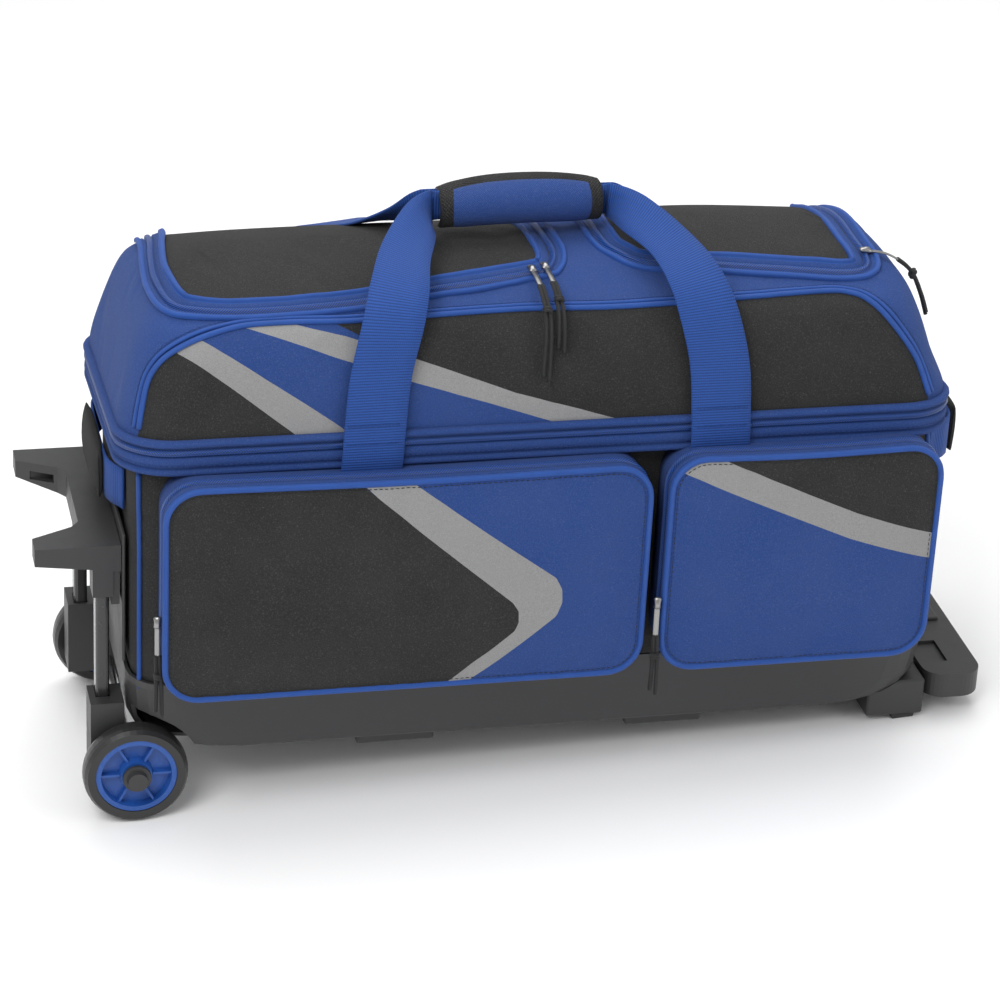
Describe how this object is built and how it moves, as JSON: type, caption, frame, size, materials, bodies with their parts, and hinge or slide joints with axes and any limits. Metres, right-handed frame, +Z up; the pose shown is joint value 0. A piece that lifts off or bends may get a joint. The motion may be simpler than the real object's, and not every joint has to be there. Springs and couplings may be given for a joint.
{
  "type": "rolling bowling bag",
  "caption": "Long padded bowling ball bag on a moulded tray, with a domed zipped lid, side pockets, carry straps, two wheels, a telescopic pull handle and an upright stand.",
  "frame": {"origin": "centre of the bounding box at floor level, standing on its wheels and rest feet", "axes": "+X towards the pull handle, -Y towards the pockets, +Z up"},
  "size_m": [0.84, 0.3332, 0.5107],
  "materials": {
    "moulded_plastic": "fine grained charcoal moulding",
    "gloss_black": "smooth dark coated tube",
    "tyre": "smooth dark tread",
    "foot_rubber": "matte",
    "rim_plastic": "satin royal blue",
    "axle_steel": "plain turned",
    "tube_metal": "satin drawn tube",
    "zip_metal": "satin gunmetal with a black cord",
    "charcoal_fabric": "fine plain weave with grey and blue panels",
    "blue_fabric": "fine plain weave with piped edges",
    "webbing": "ribbed flat webbing",
    "lining": "smooth lining",
    "foam": "moulded foam"
  },
  "bodies": {
    "bag_base": {"base_tray": "moulded_plastic", "base_floor": "lining", "left_ball_cup": "foam", "middle_ball_cup": "foam", "right_ball_cup": "foam", "left_ball_divider": "lining", "right_ball_divider": "lining", "left_skid_bar": "moulded_plastic", "right_skid_bar": "moulded_plastic", "handle_end_block": "moulded_plastic", "front_rest_foot": "foot_rubber", "rear_rest_foot": "foot_rubber", "front_sleeve": "moulded_plastic", "rear_sleeve": "moulded_plastic", "front_hub_nut": "moulded_plastic", "rear_hub_nut": "moulded_plastic", "wheel_axle": "axle_steel", "front_wheel_bracket": "moulded_plastic", "front_stand_tube": "gloss_black", "rear_wheel_bracket": "moulded_plastic", "rear_stand_tube": "gloss_black", "stand_yoke": "moulded_plastic", "stand_back_plate": "moulded_plastic", "lower_shell": "charcoal_fabric", "lower_belt": "blue_fabric", "left_pocket_gusset": "blue_fabric", "right_pocket_gusset": "blue_fabric", "left_grab_strap": "webbing", "left_grab_pad": "charcoal_fabric", "right_grab_strap": "webbing", "right_grab_pad": "charcoal_fabric"},
    "front_wheel": {"front_tyre": "tyre", "front_rim": "rim_plastic", "front_wheel_bush": "axle_steel"},
    "rear_wheel": {"rear_tyre": "tyre", "rear_rim": "rim_plastic", "rear_wheel_bush": "axle_steel"},
    "middle_stage": {"front_middle_tube": "tube_metal", "rear_middle_tube": "tube_metal"},
    "inner_stage": {"front_inner_tube": "tube_metal", "rear_inner_tube": "tube_metal", "pull_grip": "moulded_plastic"},
    "release_button": {"grip_button": "moulded_plastic"},
    "lid": {"lid_shell": "blue_fabric", "upper_belt": "blue_fabric", "lid_floor": "lining", "left_top_flap": "charcoal_fabric", "right_top_flap": "charcoal_fabric", "rear_carry_strap": "webbing", "grip_wrap": "charcoal_fabric"},
    "front_strap": {"front_carry_strap": "webbing", "grip_pad": "blue_fabric"},
    "left_pocket_door": {"left_pocket_panel": "blue_fabric"},
    "right_pocket_door": {"right_pocket_panel": "blue_fabric"},
    "left_flap_pull_body": {"left_flap_pull": "zip_metal"},
    "left_flap_second_pull_body": {"left_flap_second_pull": "zip_metal"},
    "right_flap_pull_body": {"right_flap_pull": "zip_metal"},
    "left_pocket_pull_body": {"left_pocket_pull": "zip_metal"},
    "right_pocket_pull_body": {"right_pocket_pull": "zip_metal"}
  },
  "joints": [
    {"name": "front_wheel_spin", "type": "hinge", "parent": "bag_base", "child": "front_wheel", "pos_m": [-0.34947, -0.10543, 0.0454], "axis": [0, 1, 0], "continuous": true},
    {"name": "rear_wheel_spin", "type": "hinge", "parent": "bag_base", "child": "rear_wheel", "pos_m": [-0.34947, 0.13808, 0.0454], "axis": [0, 1, 0], "continuous": true},
    {"name": "middle_stage_slide", "type": "slide", "parent": "bag_base", "child": "middle_stage", "axis": [0.9984, 0, -0.0564], "range_m": [0, 0.29]},
    {"name": "inner_stage_slide", "type": "slide", "parent": "middle_stage", "child": "inner_stage", "axis": [0.9984, 0, -0.0564], "range_m": [0, 0.29]},
    {"name": "release_button_press", "type": "slide", "parent": "inner_stage", "child": "release_button", "axis": [-0.0564, 0, -0.9984], "range_m": [0, 0.0035], "stiffness_N_per_m": 400, "springref_m": -0.003},
    {"name": "lid_hinge", "type": "hinge", "parent": "bag_base", "child": "lid", "pos_m": [0.01853, 0.16783, 0.30795], "axis": [-0.9984, 0, 0.0564], "range_deg": [0, 57]},
    {"name": "front_strap_fold", "type": "hinge", "parent": "bag_base", "child": "front_strap", "pos_m": [0.00885, -0.13267, 0.33154], "axis": [0.9984, 0, -0.0564], "range_deg": [0, 95]},
    {"name": "left_pocket_fold", "type": "hinge", "parent": "bag_base", "child": "left_pocket_door", "pos_m": [-0.12176, -0.15818, 0.12958], "axis": [0.9984, 0, -0.0564], "range_deg": [0, 90]},
    {"name": "right_pocket_fold", "type": "hinge", "parent": "bag_base", "child": "right_pocket_door", "pos_m": [0.22344, -0.15818, 0.11007], "axis": [0.9984, 0, -0.0564], "range_deg": [0, 90]},
    {"name": "left_flap_pull_lift", "type": "hinge", "parent": "lid", "child": "left_flap_pull_body", "pos_m": [0.01213, -0.06168, 0.46056], "axis": [-0.9984, 0, 0.0564], "range_deg": [0, 90]},
    {"name": "left_flap_second_pull_lift", "type": "hinge", "parent": "lid", "child": "left_flap_second_pull_body", "pos_m": [0.02414, -0.05767, 0.46038], "axis": [-0.9984, 0, 0.0564], "range_deg": [0, 90]},
    {"name": "right_flap_pull_lift", "type": "hinge", "parent": "lid", "child": "right_flap_pull_body", "pos_m": [0.3086, -0.04967, 0.4428], "axis": [0, -1, 0], "range_deg": [0, 90]},
    {"name": "left_pocket_pull_lift", "type": "hinge", "parent": "bag_base", "child": "left_pocket_pull_body", "pos_m": [-0.32736, -0.15168, 0.21332], "axis": [0, 1, 0], "range_deg": [0, 150]},
    {"name": "right_pocket_pull_lift", "type": "hinge", "parent": "bag_base", "child": "right_pocket_pull_body", "pos_m": [0.09768, -0.16317, 0.18429], "axis": [-0.9984, 0, 0.0564], "range_deg": [0, 150]}
  ],
  "couplings": [
    {"joint": "front_strap_fold", "follows": "lid_hinge", "ratio": 1.65}
  ]
}
